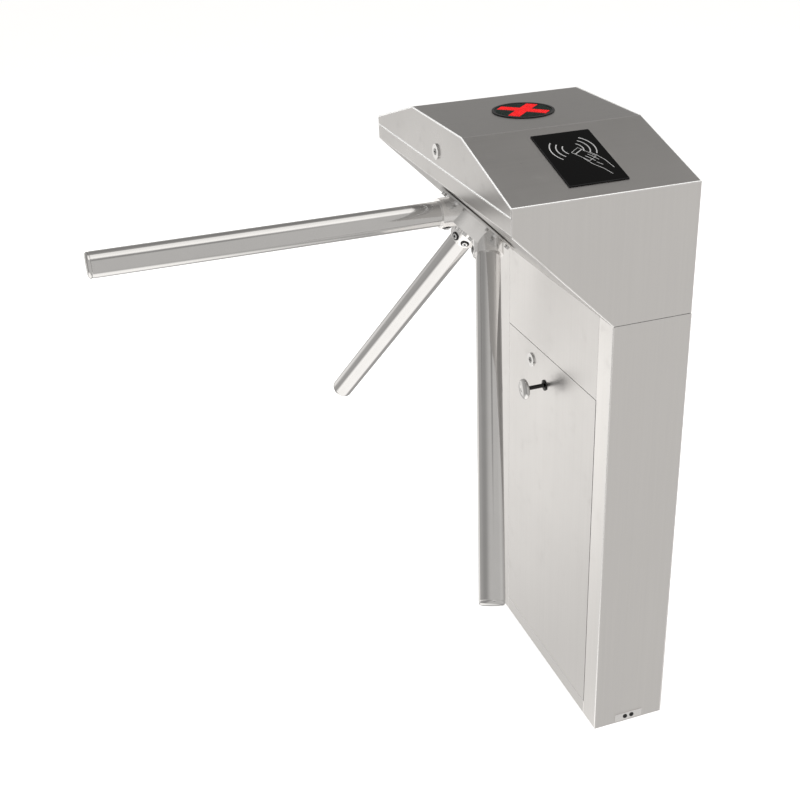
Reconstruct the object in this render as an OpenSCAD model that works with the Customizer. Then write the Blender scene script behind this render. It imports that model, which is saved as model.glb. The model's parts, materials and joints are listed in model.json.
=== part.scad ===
// Waist-high three-arm visitor counter turnstile, in millimetres.
// Origin: on the floor, at the centre of the cabinet's anchor holes.
// +Z up, -X towards the passage that the arms close, -Y towards the front.

/* [Cabinet] */
// Width of the lower cabinet, across the passage direction
cab_w = 124; // [110:1:180]
// Depth of the lower cabinet
cab_d = 400; // [340:1:460]
// Overall height to the flat of the lid
total_h = 980; // [820:1:1180]
// Thickness of the cabinet skins
skin_t = 2; // [1.5:0.5:3]
// Thickness of the base plate
base_t = 16; // [10:1:25]
// Gap on each side of the seam between cabinet and head
seam_gap = 0.3; // [0.2:0.1:0.4]

/* [Head] */
// Overhang of the head over the passage
head_over = 156; // [140:1:190]
// Depth of the head, front faces flush
head_d = 550; // [480:1:660]
// Height of the upright strip above the incline
strip_h = 23; // [16:1:40]
// Height of the lid's side below the eave
skirt_h = 14; // [12:1:24]
// Rise of the lid from eave to flat
crown_h = 52; // [40:1:64]
// Horizontal run of each lid slope
slope_run = 172; // [150:1:200]
// Thickness of the lid and head skins
head_t = 1.5; // [1.2:0.1:2]
// Gap under the lid's side walls
lid_gap = 0.8; // [0.5:0.1:0.9]

/* [Door] */
// Height of the fixed panel above the door
upper_panel_h = 135; // [110:1:170]
// Height of the rail under the door
rail_h = 26; // [24:1:50]
// Width of the fixed strip on each side of the door
stile_w = 42; // [34:1:60]
// Gap at the door's hinge edge
door_hinge_gap = 1.4; // [1.3:0.1:2]
// Gap at the door's other edges
door_gap = 0.8; // [0.5:0.1:0.9]
// Distance from the hinge edge to the pivot
pivot_in = 20; // [20:1:30]
// Projection of the pull knob
knob_l = 41; // [30:1:50]
// Diameter of the pull knob
knob_d = 34; // [26:1:40]

/* [Tripod] */
// Diameter of each arm tube
arm_d = 38; // [30:1:42]
// Wall of each arm tube
arm_wall = 1.5; // [1:0.25:3]
// Length of an arm from the point where the three axes meet
arm_len = 604; // [450:1:640]
// Depth of that point behind the incline, along the hub axis
apex_in = 21.4; // [18:0.1:24]
// Distance of the hub axis above the middle of the incline
hub_rise = 16.2; // [0:0.1:18]
// Position of the hub axis along the depth
hub_y = 75; // [60:1:90]
// Diameter of the thin hub flange
flange_d = 148; // [140:1:160]
// Diameter of the hub drum
drum_d = 94; // [88:1:104]
// Height of the drum's outer face above the incline
drum_top = 31; // [28:1:36]
// Outer diameter of the sockets that hold the arms
socket_d = 47; // [46:0.5:52]

/* [Mechanism] */
// Diameter of the main shaft
shaft_d = 25; // [20:1:25]
// Outer diameter of the shaft bearings
bearing_d = 47; // [42:1:52]
// Width of the shaft bearings
bearing_w = 12; // [10:1:14]
// Radius of the locking disc
disc_r = 50; // [46:1:52]
// Thickness of the locking disc and the pawls
disc_t = 8; // [6:0.5:10]
// Module of the gears
gear_m = 2.5; // [2:0.25:2.5]
// Teeth on the main gear
gear_teeth = 40; // [40:8:48]
// Teeth on each pinion
pinion_teeth = 16; // [16:2:20]
// Width of the gears
gear_w = 8; // [6:1:10]
// Stroke of each solenoid
stroke = 4.9; // [3:0.1:5]

/* [Lid fittings] */
// Diameter of the direction indicator
indicator_d = 94; // [60:1:110]
// Width of the reader window
reader_w = 90; // [70:1:110]
// Length of the reader window along the slope
reader_l = 130; // [90:1:140]
// Number of vent slots behind the flat of the lid
vent_count = 6; // [2:1:8]

/* [Hidden] */
$fn = 64;

steel = [0.72, 0.71, 0.69];
polished = [0.85, 0.85, 0.86];
dark = [0.12, 0.12, 0.13];
zinc = [0.62, 0.64, 0.66];

// Clearances
running = 0.05;  // radial clearance of a shaft or pin that turns or slides
snug = 0.02;     // radial clearance of a pin or screw that stays put
clear = 0.3;     // gap between parts that must not rub

// Outline of the cabinet and head
x_left = -cab_w / 2;
x_right = cab_w / 2;
y_front = -cab_d / 2;
y_rear = cab_d / 2;
x_head = x_left - head_over;
y_head = y_front + head_d;
head_mid_y = (y_front + y_head) / 2;
seam_z = total_h - crown_h - skirt_h - strip_h - head_over;
incline_z = seam_z + head_over;
lid_z = incline_z + strip_h;
eave_z = lid_z + skirt_h;
lid_x = (x_head + x_right) / 2;

// Hub frame: the axis crosses the incline here, 45 degrees down and towards the passage
hub_x = (x_left + x_head) / 2 - hub_rise * cos(45);
hub_z = (seam_z + incline_z) / 2 + hub_rise * sin(45);

// Base plate holes
anchor_x = 72;
anchor_y = 320;
anchor_hole_r = 7;
conduit_r = 25;

// Door
door_y0 = y_front + stile_w + door_hinge_gap;
door_y1 = y_rear - stile_w - door_gap;
door_z0 = rail_h + door_gap;
door_z1 = seam_z - upper_panel_h - door_gap;
pivot_r = 2.5;
pivot_x = x_left + skin_t + 4.5;
pivot_y = door_y0 + pivot_in;
lug_t = 4;
lug_half = 10;
lug_foot_half = 16;
lug_foot_t = 1.5;
lug_reach = 7;
lug_gap = 6;
lower_lug_z = rail_h - lug_gap - lug_t;
upper_lug_z = seam_z - upper_panel_h + lug_gap;
knob_z = door_z1 - 54;
knob_y = 17;
door_lock_y = 68;
door_lock_z = door_z1 - 30;

// Locks
lock_flange_r = 11.5;
lock_flange_t = 2.5;
lock_r = 8;
lock_len = 16;
plug_r = 5;
cam_l = 42;
cam_w = 12;
cam_t = 2.5;
keeper_w = 24;
keeper_t = 2;
keeper_in = 1;
door_keeper_h = 21;
lid_keeper_h = 17;
lock_nut_r = 12;
lock_nut_t = 4;
plug_proud = 0.4;
key_half_w = 0.8;
key_half_h = 3.6;
key_deep = 4;
cam_nut_r = 4;
cam_nut_t = 4;
lid_lock_y = 73;
lid_lock_z = lid_z + 22;

// Lid profile
lid_y0 = y_front + head_t + 0.6;
lid_y1 = y_head - head_t - 0.6;
slope_deg = atan(crown_h / slope_run);
lid_edge_z = eave_z + (lid_y0 - y_front) * tan(slope_deg);

// Lid hinges
hinge_r = 4;
hinge_pin_r = 2;
hinge_leaf_t = 1.8;
hinge_leaf_h = 26;
hinge_play = 0.6;
knuckle_l = 20;
hinge_ys = [y_front + 100, y_head - 100];

// Mechanism depths behind the incline's outer face
plate_d = 8;
plate_t = 4;
housing_d = plate_d + plate_t;
housing_gap = 8;
housing_flange_r = 50;
housing_flange_t = 6;
housing_r = bearing_d / 2 + 7.5;
housing_l = 2 * bearing_w + housing_gap;
disc_d = housing_d + housing_l + 6;
gear_d = disc_d + disc_t + 6;
shaft_end_d = gear_d + gear_w + 4;
bridge_d = shaft_end_d + 4;
bridge_t = 4;
opening_r = 32;
shaft_flange_r = 28;
shaft_flange_t = 6;
hub_gap = 2;
flange_t = 3;
drum_z = hub_gap + flange_t;
plate_x0 = -78;
plate_x1 = 112;
plate_y = 114;
stud_r = 4;
stud_xs = [-66, 100];
stud_y = 100;
stud_end = 9;
nut_r = 7.5;
nut_t = 6.5;
housing_bolt_r = 42;
bolt_r = 2.5;
standoff_x = 22;
standoff_y = 103;
standoff_r = 5;
bridge_edge = [10, 9];

// Bearings
race_t = 3;
ball_r = 3.4;
ball_count = 9;
ball_ring_r = (shaft_d + bearing_d) / 4;

// Hub screws
hub_screw_r = 3;
hub_screw_ring = 15;
flange_screw_r = 2.5;
flange_screw_ring = 63;
flange_screw_deg = 24;

// Arms
socket_start = 58;
socket_end = 80;
cap_t = 6;

// Locking disc and pawls
notch_w = 17;
notch_depth = 7.5;
pawl_deg = 30;
pawl_rest = 1.5;
pawl_reach = 14;
pawl_lever = 40;
pawl_arm_w = 12;
pawl_boss_r = 9;
pawl_pin_r = 4;
tooth_w = 8;
tail_l = 28;
tail_t = 4;
tail_w = 9;
tail_pin_r = 1.5;
tail_slot_w = 3.6;
tail_slot_l = 6;
plunger_r = 6;
coil_w = 26;
coil_l = 40;
coil_start = 24;
coil_foot_in = 5;
coil_foot_t = 3;
post_r = 8;
clip_t = 1;

// Gears
pinion_y = gear_m * (gear_teeth + pinion_teeth) / 2 + 0.1;
backlash = 0.3;
pinion_shaft_r = 4;

// Electronics
board_z = 430;
psu_w = 44;
psu_d = 140;
psu_h = 180;

// ---------- placing ----------

// Hub side: +Z along the hub axis away from the incline, +X up the incline
module hub_side(z = 0)
    translate([hub_x, hub_y, hub_z]) rotate([0, 225, 0]) translate([0, 0, z]) children();

// Mechanism side: +Z into the head, +X down the incline
module mech_side(depth = 0)
    translate([hub_x, hub_y, hub_z]) rotate([0, 45, 0]) translate([0, 0, depth]) children();

// Arm frame: +Z along arm number k, from the point where the arm axes meet
module arm_side(k)
    hub_side(-apex_in) rotate([0, 0, 120 * k]) rotate([0, 45, 0]) children();

// Slope frame: +Y up the front slope, +Z out of it, X measured from the lid's middle
module slope_side()
    translate([lid_x, y_front, eave_z]) rotate([slope_deg, 0, 0]) children();

// Pawl frame: X radial, Y tangential, for pawl 1 (side 1) or pawl 2 (side -1)
module pawl_side(side, depth)
    mech_side(depth) rotate([0, 0, side * pawl_deg]) scale_y(side) children();

module scale_y(side)
    if (side < 0) mirror([0, 1, 0]) children(); else children();

// ---------- shared shapes ----------

// Box between two corners
module block(a, b)
    translate(a) cube(b - a);

// Plate standing across Y, from an outline of [x, z] points
module upright(points, y0, y1)
    translate([0, y1, 0]) rotate([90, 0, 0]) linear_extrude(y1 - y0) polygon(points);

// Plate standing across X, from an outline of [y, z] points
module crosswise(points, x0, x1)
    translate([x0, 0, 0]) rotate([90, 0, 90]) linear_extrude(x1 - x0) polygon(points);

module ring(outer_r, inner_r, h)
    difference() {
        cylinder(h = h, r = outer_r);
        translate([0, 0, -1]) cylinder(h = h + 2, r = inner_r);
    }

// Socket-head screw: its head stands on Z = 0 and its shank goes down
module socket_screw(r, shank)
    difference() {
        union() {
            translate([0, 0, -shank]) cylinder(h = shank + 0.1, r = r);
            cylinder(h = 1.6 * r, r = 1.7 * r);
        }
        translate([0, 0, 0.6 * r]) cylinder(h = 2 * r, r = r, $fn = 6);
    }

// ---------- cabinet ----------

module base_plate() color(zinc)
    difference() {
        block([x_left + skin_t, y_front + skin_t, 0], [x_right - skin_t, y_rear - skin_t, base_t]);
        for (x = [-1, 1], y = [-1, 1])
            translate([x * anchor_x / 2, y * anchor_y / 2, -1])
                cylinder(h = base_t + 2, r = anchor_hole_r);
        translate([0, 0, -1]) cylinder(h = base_t + 2, r = conduit_r);
    }

outlet_w = 50;
outlet_z = [4, 18];
outlet_t = 1.5;
outlet_hole_r = 3;
outlet_hole_x = 6;

module outlet_holes()
    for (side = [-1, 1])
        translate([side * outlet_hole_x, y_front - outlet_t - 1, (outlet_z[0] + outlet_z[1]) / 2])
            rotate([-90, 0, 0]) cylinder(h = outlet_t + skin_t + 2, r = outlet_hole_r);

module front_panel() color(steel)
    difference() {
        block([x_left, y_front, 0], [x_right, y_front + skin_t, seam_z - seam_gap]);
        outlet_holes();
    }

module cable_outlet_plate() color(polished)
    difference() {
        block([-outlet_w / 2, y_front - outlet_t, outlet_z[0]], [outlet_w / 2, y_front, outlet_z[1]]);
        outlet_holes();
    }

module rear_panel() color(steel)
    block([x_left, y_rear - skin_t, 0], [x_right, y_rear, seam_z - seam_gap]);

module right_side_panel() color(steel)
    block([x_right - skin_t, y_front + skin_t, 0], [x_right, y_rear - skin_t, seam_z - seam_gap]);

module front_stile() color(steel)
    block([x_left, y_front + skin_t, 0], [x_left + skin_t, y_front + stile_w, seam_z - seam_gap]);

module rear_stile() color(steel)
    block([x_left, y_rear - stile_w, 0], [x_left + skin_t, y_rear - skin_t, seam_z - seam_gap]);

module upper_side_panel() color(steel)
    block([x_left, y_front + stile_w + clear, seam_z - upper_panel_h],
          [x_left + skin_t, y_rear - stile_w - clear, seam_z - seam_gap]);

module bottom_rail() color(steel)
    block([x_left, y_front + stile_w + clear, 0],
          [x_left + skin_t, y_rear - stile_w - clear, rail_h]);

// Lug that holds a door pivot, with its foot against the skin
module pivot_lug(z)
    difference() {
        union() {
            block([x_left + skin_t, pivot_y - lug_half, z],
                  [pivot_x + lug_reach, pivot_y + lug_half, z + lug_t]);
            block([x_left + skin_t, pivot_y - lug_foot_half, z],
                  [x_left + skin_t + lug_foot_t, pivot_y + lug_foot_half, z + lug_t]);
        }
        translate([pivot_x, pivot_y, z - 1]) cylinder(h = lug_t + 2, r = pivot_r + running);
    }

// Keeper that a lock's cam turns behind: foot on the skin, shelf at the end away from the lock,
// and an upstand between the skin and the turned cam. z_near is its end towards the lock.
module keeper(skin_x, y, z_near, z_far)
    let (stand_x = skin_x + lock_len - clear - keeper_t) {
        z0 = min(z_near, z_far);
        z1 = max(z_near, z_far);
        shelf_z = z_far > z_near ? z1 - keeper_t : z0;
        block([skin_x, y - keeper_w / 2, z0 + 0.5], [skin_x + keeper_t, y + keeper_w / 2, z1]);
        block([skin_x, y - keeper_w / 2, shelf_z], [stand_x + keeper_t, y + keeper_w / 2, shelf_z + keeper_t]);
        block([stand_x, y - keeper_w / 2, z0], [stand_x + keeper_t, y + keeper_w / 2, z1]);
    }

module frame_brackets() color(zinc) {
    pivot_lug(lower_lug_z);
    pivot_lug(upper_lug_z);
    keeper(x_left + skin_t, door_lock_y - cam_w / 2,
           door_z1 + door_gap + keeper_in, door_z1 + door_gap + keeper_in + door_keeper_h);
    keeper(x_head + head_t, lid_lock_y - cam_w / 2, lid_z - 2 * keeper_in,
           lid_z - 2 * keeper_in - lid_keeper_h);
}

// ---------- head ----------

head_outline = [
    [x_left, seam_z + seam_gap], [x_right, seam_z + seam_gap], [x_right, eave_z],
    [x_head, eave_z], [x_head, incline_z]
];

module head_front_panel() color(steel)
    upright(head_outline, y_front, y_front + head_t);

module head_rear_panel() color(steel)
    upright(head_outline, y_head - head_t, y_head);

module hinge_notches()
    for (y = hinge_ys)
        block([x_right - hinge_r - 1, y - 1.5 * knuckle_l - 1, lid_z - hinge_r - hinge_play],
              [x_right + 1, y + 1.5 * knuckle_l + 1, lid_z + hinge_r + hinge_play]);

module head_right_panel() color(steel)
    difference() {
        block([x_right - head_t, y_front + head_t, seam_z + seam_gap],
              [x_right, y_head - head_t, lid_z - lid_gap / 2]);
        hinge_notches();
    }

module head_left_strip() color(steel)
    upright([[x_head, incline_z], [x_head + head_t, incline_z - head_t],
             [x_head + head_t, lid_z - lid_gap / 2], [x_head, lid_z - lid_gap / 2]],
            y_front + head_t, y_head - head_t);

incline_t = 2;
incline_foot_x = x_left - seam_gap;

module incline_plate() color(steel)
    difference() {
        upright([[incline_foot_x, seam_z + seam_gap], [x_head + head_t, incline_z - head_t],
                 [x_head + head_t, incline_z - head_t + incline_t * sqrt(2)],
                 [incline_foot_x + incline_t * sqrt(2), seam_z + seam_gap]],
                y_front + head_t, y_head - head_t);
        mech_side(-1) cylinder(h = incline_t + 2, r = opening_r);
    }

module head_bottom_panel() color(steel)
    block([incline_foot_x + incline_t * sqrt(2), y_rear - skin_t, seam_z + seam_gap],
          [x_right - head_t, y_head - head_t, seam_z + seam_gap + head_t]);

// ---------- lid ----------

// Half of the lid's outline, front side, with the thickness taken off
function lid_front(t) = [
    [lid_y0 + t, lid_z + lid_gap / 2],
    [lid_y0 + t, lid_edge_z + t * tan(slope_deg) - t / cos(slope_deg)],
    [y_front + slope_run + t * (1 / cos(slope_deg) - 1) / tan(slope_deg), total_h - t]
];

// The whole outline: the front side and its mirror image
function lid_outline(t) = concat(
    lid_front(t), [for (i = [2:-1:0]) [2 * head_mid_y - lid_front(t)[i][0], lid_front(t)[i][1]]]
);

reader_mid = slope_run / cos(slope_deg) / 2 + 4;
reader_lip = 4;
indicator_lip = 1.5;
indicator_proud = 1.5;
bezel_w = 4;
bezel_deep = 14;
bezel_floor = 2;
lens_deep = 4;
window_proud = 2;
window_deep = 16;
vent_l = 11;
vent_w = 4;
vent_pitch = 15.4;
vent_in = 5.5;

module lid_skin() color(steel)
    difference() {
        crosswise(lid_outline(0), x_head, x_right);
        crosswise(lid_outline(head_t), x_head - 1, x_right + 1);
        for (y = [lid_y0 - 1, lid_y1 - head_t])
            block([x_head - 1, y, lid_z - 1], [x_right + 1, y + head_t + 1, lid_z + lid_gap / 2]);
        translate([lid_x, head_mid_y, total_h - head_t - 1])
            cylinder(h = head_t + 2, r = indicator_d / 2 - indicator_lip);
        slope_side() translate([-reader_w / 2 + reader_lip, reader_mid - reader_l / 2 + reader_lip, -10])
            cube([reader_w - 2 * reader_lip, reader_l - 2 * reader_lip, 20]);
        for (k = [0:vent_count - 1])
            translate([lid_x + (k - (vent_count - 1) / 2) * vent_pitch - vent_l / 2,
                       y_head - slope_run + vent_in, total_h - 10])
                cube([vent_l, vent_w, 20]);
    }

module lid_gables() color(steel)
    difference() {
        union() {
            crosswise(lid_outline(head_t), x_head, x_head + head_t);
            crosswise(lid_outline(head_t), x_right - head_t, x_right);
        }
        translate([x_head - 1, lid_lock_y, lid_lock_z]) rotate([0, 90, 0])
            cylinder(h = head_t + 2, r = lock_r + snug);
        hinge_notches();
    }

module indicator_bezel() color(dark)
    translate([lid_x, head_mid_y, 0]) {
        translate([0, 0, total_h]) ring(indicator_d / 2, indicator_d / 2 - bezel_w, indicator_proud);
        translate([0, 0, total_h - bezel_deep])
            ring(indicator_d / 2 - indicator_lip - clear, indicator_d / 2 - bezel_w, bezel_deep);
        translate([0, 0, total_h - bezel_deep - bezel_floor])
            cylinder(h = bezel_floor, r = indicator_d / 2 - indicator_lip - clear);
    }

module indicator_lens() color(dark)
    translate([lid_x, head_mid_y, total_h - lens_deep])
        cylinder(h = lens_deep + indicator_proud, r = indicator_d / 2 - bezel_w - snug);

module reader_window() color(dark)
    slope_side() translate([0, reader_mid, 0]) {
        translate([-reader_w / 2, -reader_l / 2, 0]) cube([reader_w, reader_l, window_proud]);
        translate([-reader_w / 2 + reader_lip + clear, -reader_l / 2 + reader_lip + clear, -window_deep])
            cube([reader_w - 2 * (reader_lip + clear), reader_l - 2 * (reader_lip + clear),
                  window_deep + window_proud / 2]);
    }

// One knuckle with its bore along Y
module knuckle(y0, y1, bore)
    translate([x_right, y0, lid_z]) rotate([-90, 0, 0])
        ring(hinge_r, bore, y1 - y0);

// Lid hinges: the base carries the outer knuckles and the pin, the leaf the middle knuckle
module lid_hinge_bases() color(zinc)
    for (y = hinge_ys) {
        half = knuckle_l / 2;
        far = 1.5 * knuckle_l;
        leaf_x = x_right - head_t;
        difference() {
            union() {
                block([leaf_x - hinge_leaf_t, y - far, lid_z - hinge_r - hinge_leaf_h],
                      [leaf_x, y + far, lid_z - hinge_r - hinge_play]);
                for (side = [-1, 1])
                    translate([x_right, y + side * (half + clear + far) / 2 , lid_z]) {
                        rotate([90, 0, 0])
                            cylinder(h = far - half - clear, r = hinge_r, center = true);
                        block([-head_t - hinge_leaf_t, -(far - half - clear) / 2, -hinge_r - 1],
                              [-head_t, (far - half - clear) / 2, 0]);
                    }
            }
            translate([x_right, y - far - 1, lid_z]) rotate([-90, 0, 0])
                cylinder(h = 2 * far + 2, r = hinge_pin_r + snug);
        }
        translate([x_right, y - far, lid_z]) rotate([-90, 0, 0]) cylinder(h = 2 * far, r = hinge_pin_r);
    }

module lid_hinge_leaves() color(zinc)
    for (y = hinge_ys) {
        half = knuckle_l / 2 - clear;
        far = 1.5 * knuckle_l;
        leaf_x = x_right - head_t;
        difference() {
            union() {
                block([leaf_x - hinge_leaf_t, y - far, lid_z + hinge_r + hinge_play],
                      [leaf_x, y + far, lid_z + hinge_r + hinge_leaf_h]);
                block([leaf_x - hinge_leaf_t, y - half, lid_z + 0.5],
                      [leaf_x, y + half, lid_z + hinge_r + 1]);
                translate([x_right, y, lid_z]) rotate([90, 0, 0])
                    cylinder(h = 2 * half, r = hinge_r, center = true);
            }
            translate([x_right, y - far - 1, lid_z]) rotate([-90, 0, 0])
                cylinder(h = 2 * far + 2, r = hinge_pin_r + running);
        }
    }

// ---------- locks ----------

// Lock barrel with its flange outside and its nut inside the skin, axis along +X from the skin
module lock_body(wall)
    rotate([0, 90, 0]) difference() {
        union() {
            translate([0, 0, -lock_flange_t]) cylinder(h = lock_flange_t, r = lock_flange_r);
            cylinder(h = wall + lock_len, r = lock_r);
            translate([0, 0, wall]) cylinder(h = lock_nut_t, r = lock_nut_r, $fn = 6);
        }
        translate([0, 0, -lock_flange_t - 1])
            cylinder(h = lock_flange_t + wall + lock_len + 2, r = plug_r + running);
    }

// Plug with its key slot and its cam, which points to -Y when unlocked
module lock_plug(wall)
    rotate([0, 90, 0]) {
        difference() {
            translate([0, 0, -lock_flange_t - plug_proud])
                cylinder(h = lock_flange_t + wall + lock_len + 2 * plug_proud + cam_t, r = plug_r);
            block([-key_half_w, -key_half_h, -lock_flange_t - 1],
                  [key_half_w, key_half_h, -lock_flange_t + key_deep]);
        }
        translate([0, 0, wall + lock_len + clear]) {
            block([-cam_w / 2, -cam_l + cam_w / 2, 0], [cam_w / 2, 0, cam_t]);
            cylinder(h = cam_t, r = cam_w / 2);
            translate([0, -cam_l + cam_w / 2, 0]) cylinder(h = cam_t, r = cam_w / 2);
            cylinder(h = cam_t + cam_nut_t, r = cam_nut_r, $fn = 6);
        }
    }

module lid_lock_body() color(polished)
    translate([x_head, lid_lock_y, lid_lock_z]) lock_body(head_t);

module lid_lock_plug() color(zinc)
    translate([x_head, lid_lock_y, lid_lock_z]) lock_plug(head_t);

module door_lock_body() color(polished)
    translate([x_left, door_lock_y, door_lock_z]) lock_body(skin_t);

module door_lock_plug() color(zinc)
    translate([x_left, door_lock_y, door_lock_z]) lock_plug(skin_t);

// ---------- door ----------

knob_hole_r = 2.5;

module door_panel() color(steel)
    difference() {
        block([x_left, door_y0, door_z0], [x_left + skin_t, door_y1, door_z1]);
        translate([x_left - 1, door_lock_y, door_lock_z]) rotate([0, 90, 0])
            cylinder(h = skin_t + 2, r = lock_r + snug);
        translate([x_left - 1, knob_y, knob_z]) rotate([0, 90, 0])
            cylinder(h = skin_t + 2, r = knob_hole_r + snug);
    }

// Blocks on the door's inner face, each with a pin that stands in its lug
module door_pivots() color(zinc)
    for (end = [0, 1]) {
        z0 = end == 0 ? door_z0 + 1 : door_z1 - 19;
        block([x_left + skin_t, pivot_y - 8, z0], [pivot_x + 6, pivot_y + 8, z0 + 18]);
        translate([pivot_x, pivot_y, end == 0 ? lower_lug_z + 0.5 : z0 + 14])
            cylinder(h = lug_gap + door_gap + lug_t + 4.5, r = pivot_r);
    }

// Mushroom knob with its screw through the door
module door_knob() color(polished)
    translate([x_left, knob_y, knob_z]) rotate([0, -90, 0]) {
        rotate_extrude() polygon([
            [0, 0], [9, 0], [9, 2], [6, 4], [5, 10], [5, knob_l - 12], [8, knob_l - 9],
            [knob_d / 2 - 1, knob_l - 8], [knob_d / 2, knob_l - 7], [knob_d / 2, knob_l - 4],
            [knob_d / 2 - 2, knob_l - 1.5], [knob_d / 4, knob_l - 0.3], [0, knob_l]
        ]);
        translate([0, 0, -skin_t - 2]) cylinder(h = skin_t + 3, r = knob_hole_r);
        translate([0, 0, -skin_t - 3.5]) cylinder(h = 3.5, r = 5);
    }

// ---------- mechanism, fixed ----------

module mech_plate() color(zinc)
    mech_side(plate_d) difference() {
        block([plate_x0, -plate_y, 0], [plate_x1, plate_y, plate_t]);
        translate([0, 0, -1]) cylinder(h = plate_t + 2, r = opening_r - 4);
        for (x = stud_xs, y = [-1, 1])
            translate([x, y * stud_y, -1]) cylinder(h = plate_t + 2, r = stud_r + snug);
        for (k = [0:3]) rotate([0, 0, 45 + 90 * k])
            translate([housing_bolt_r, 0, -1]) cylinder(h = plate_t + 2, r = bolt_r + snug);
    }

// Studs, spacers and nuts between the incline and the plate, and the bearing housing's bolts
module mech_fasteners() color(zinc) {
    for (x = stud_xs, y = [-1, 1]) {
        mech_side(incline_t) translate([x, y * stud_y, 0])
            cylinder(h = plate_d - incline_t + plate_t + stud_end, r = stud_r);
        mech_side(incline_t) translate([x, y * stud_y, 0])
            ring(2 * stud_r, stud_r + snug, plate_d - incline_t);
        mech_side(plate_d + plate_t) translate([x, y * stud_y, 0]) difference() {
            cylinder(h = nut_t, r = nut_r, $fn = 6);
            translate([0, 0, -1]) cylinder(h = nut_t + 2, r = stud_r + snug);
        }
    }
    for (k = [0:3])
        mech_side(housing_d + housing_flange_t) rotate([0, 0, 45 + 90 * k])
            translate([housing_bolt_r, 0, 0]) socket_screw(bolt_r, housing_flange_t + plate_t);
}

module bearing_housing() color(zinc)
    mech_side(housing_d) difference() {
        union() {
            cylinder(h = housing_flange_t, r = housing_flange_r);
            cylinder(h = housing_l, r = housing_r);
        }
        translate([0, 0, -1]) cylinder(h = housing_l + 2, r = bearing_d / 2 - race_t);
        for (z = [-1, housing_l - bearing_w])
            translate([0, 0, z]) cylinder(h = bearing_w + 1, r = bearing_d / 2 + snug);
        for (k = [0:3]) rotate([0, 0, 45 + 90 * k])
            translate([housing_bolt_r, 0, -1]) cylinder(h = housing_flange_t + 2, r = bolt_r + snug);
    }

bearing_depths = [housing_d, housing_d + housing_l - bearing_w];

// Ball track that both races are cut with
module ball_track()
    translate([0, 0, bearing_w / 2]) rotate_extrude()
        translate([ball_ring_r, 0]) circle(r = ball_r + clear);

module bearing_outer_races() color(polished)
    for (d = bearing_depths) mech_side(d) difference() {
        ring(bearing_d / 2, bearing_d / 2 - race_t, bearing_w);
        ball_track();
    }

module bearing_inner_races() color(polished)
    for (d = bearing_depths) mech_side(d) {
        difference() {
            ring(shaft_d / 2 + race_t, shaft_d / 2 + snug, bearing_w);
            ball_track();
        }
        for (k = [0:ball_count - 1]) rotate([0, 0, 360 * k / ball_count])
            translate([ball_ring_r, 0, bearing_w / 2]) sphere(r = ball_r, $fn = 32);
    }

pawl_x = disc_r + pawl_reach;

module pawl_posts() color(zinc)
    for (side = [-1, 1]) pawl_side(side, 0) translate([pawl_x, pawl_lever, 0]) {
        translate([0, 0, housing_d]) cylinder(h = disc_d - clear - housing_d, r = post_r);
        translate([0, 0, disc_d - 1]) cylinder(h = disc_t + 4.5, r = pawl_pin_r);
        translate([0, 0, disc_d + disc_t + clear]) ring(pawl_pin_r + 3, pawl_pin_r + snug, clip_t);
    }

coil_x = pawl_x + tail_l;
coil_y = pawl_lever - coil_start;
coil_z = disc_d + disc_t / 2;

// Solenoid: case with the plunger's bore, on an upright leg with a foot
module solenoids() color([0.35, 0.36, 0.38])
    for (side = [-1, 1]) pawl_side(side, 0) {
        difference() {
            block([coil_x - coil_w / 2, coil_y - coil_l, coil_z - coil_w / 2],
                  [coil_x + coil_w / 2, coil_y, coil_z + coil_w / 2]);
            translate([coil_x, coil_y + 1, coil_z]) rotate([90, 0, 0])
                cylinder(h = coil_l + 2, r = plunger_r + running);
        }
        block([coil_x - coil_w / 2, coil_y - coil_l + coil_foot_in, housing_d],
              [coil_x + coil_w / 2, coil_y - coil_foot_in, housing_d + coil_foot_t]);
        block([coil_x - coil_foot_t / 2, coil_y - coil_l + coil_foot_in, housing_d],
              [coil_x + coil_foot_t / 2, coil_y - coil_foot_in, coil_z - coil_w / 2]);
    }

spring_r = 7.6;
spring_wire_r = 0.5;
spring_turns = 5;
spring_steps = 20;
spring_sides = 6;
collar_y = pawl_lever - 7.5;
collar_t = 1.5;
spring_l = collar_y - collar_t - coil_y - 2 * clear - 2 * spring_wire_r;

// Points of a round wire wound along Z
function coil_points(r, wire_r, turns, length) = [
    for (i = [0:turns * spring_steps])
        let (a = 360 * i / spring_steps, z = length * i / (turns * spring_steps))
        for (k = [0:spring_sides - 1])
            let (b = 360 * k / spring_sides, q = r + wire_r * cos(b))
            [q * cos(a), q * sin(a), z + wire_r * sin(b)]
];

module coil(r, wire_r, turns, length) {
    n = spring_sides;
    rings = turns * spring_steps;
    polyhedron(
        points = coil_points(r, wire_r, turns, length),
        faces = concat(
            [[for (k = [0:n - 1]) k]],
            [for (i = [0:rings - 1]) for (k = [0:n - 1])
                [i * n + k, (i + 1) * n + k, (i + 1) * n + (k + 1) % n, i * n + (k + 1) % n]],
            [[for (k = [n - 1:-1:0]) rings * n + k]]
        )
    );
}

module return_springs() color(polished)
    for (side = [-1, 1]) pawl_side(side, coil_z)
        translate([coil_x, coil_y + clear + spring_wire_r, 0]) rotate([-90, 0, 0])
            coil(spring_r, spring_wire_r, spring_turns, spring_l);

module bridge_plate() color(zinc)
    mech_side(bridge_d) difference() {
        block([-standoff_x - bridge_edge[0], -standoff_y - bridge_edge[1], 0],
              [standoff_x + bridge_edge[0], standoff_y + bridge_edge[1], bridge_t]);
        for (side = [-1, 1])
            translate([0, side * pinion_y, -1]) cylinder(h = bridge_t + 2, r = pinion_shaft_r + 3);
        for (x = [-1, 1], y = [-1, 1])
            translate([x * standoff_x, y * standoff_y, -1])
                cylinder(h = bridge_t + 2, r = bolt_r + snug);
    }

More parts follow.
